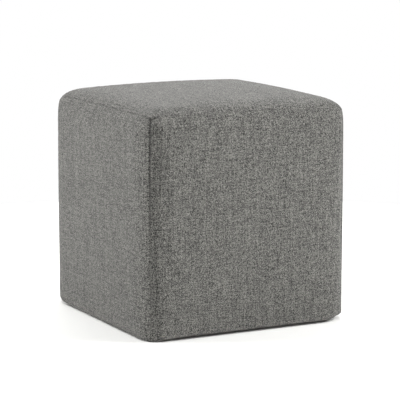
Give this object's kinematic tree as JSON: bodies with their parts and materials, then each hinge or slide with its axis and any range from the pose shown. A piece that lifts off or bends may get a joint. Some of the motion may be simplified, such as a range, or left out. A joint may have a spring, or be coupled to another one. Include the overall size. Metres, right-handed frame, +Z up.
{
  "type": "cube pouf stool",
  "caption": "Soft cube stool: padded melange cloth panels sewn edge to edge, with a crowned seat, rolled edges and a flat black underside set back to leave a shadow gap.",
  "frame": {"origin": "middle of the underside, on the surface the stool stands on", "axes": "+Z up; -Y is the front, the wide right-hand face in the picture; -X is the narrow left-hand face"},
  "size_m": [0.407, 0.407, 0.406],
  "materials": {
    "grey_cloth": "matt plain weave of light and dark grey melange yarns",
    "black_underside": "matt black cloth over a flat board"
  },
  "bodies": {
    "root": {"top_panel": "grey_cloth", "side_panel_front": "grey_cloth", "side_panel_right": "grey_cloth", "side_panel_back": "grey_cloth", "side_panel_left": "grey_cloth", "underside_panel": "black_underside"}
  },
  "joints": []
}
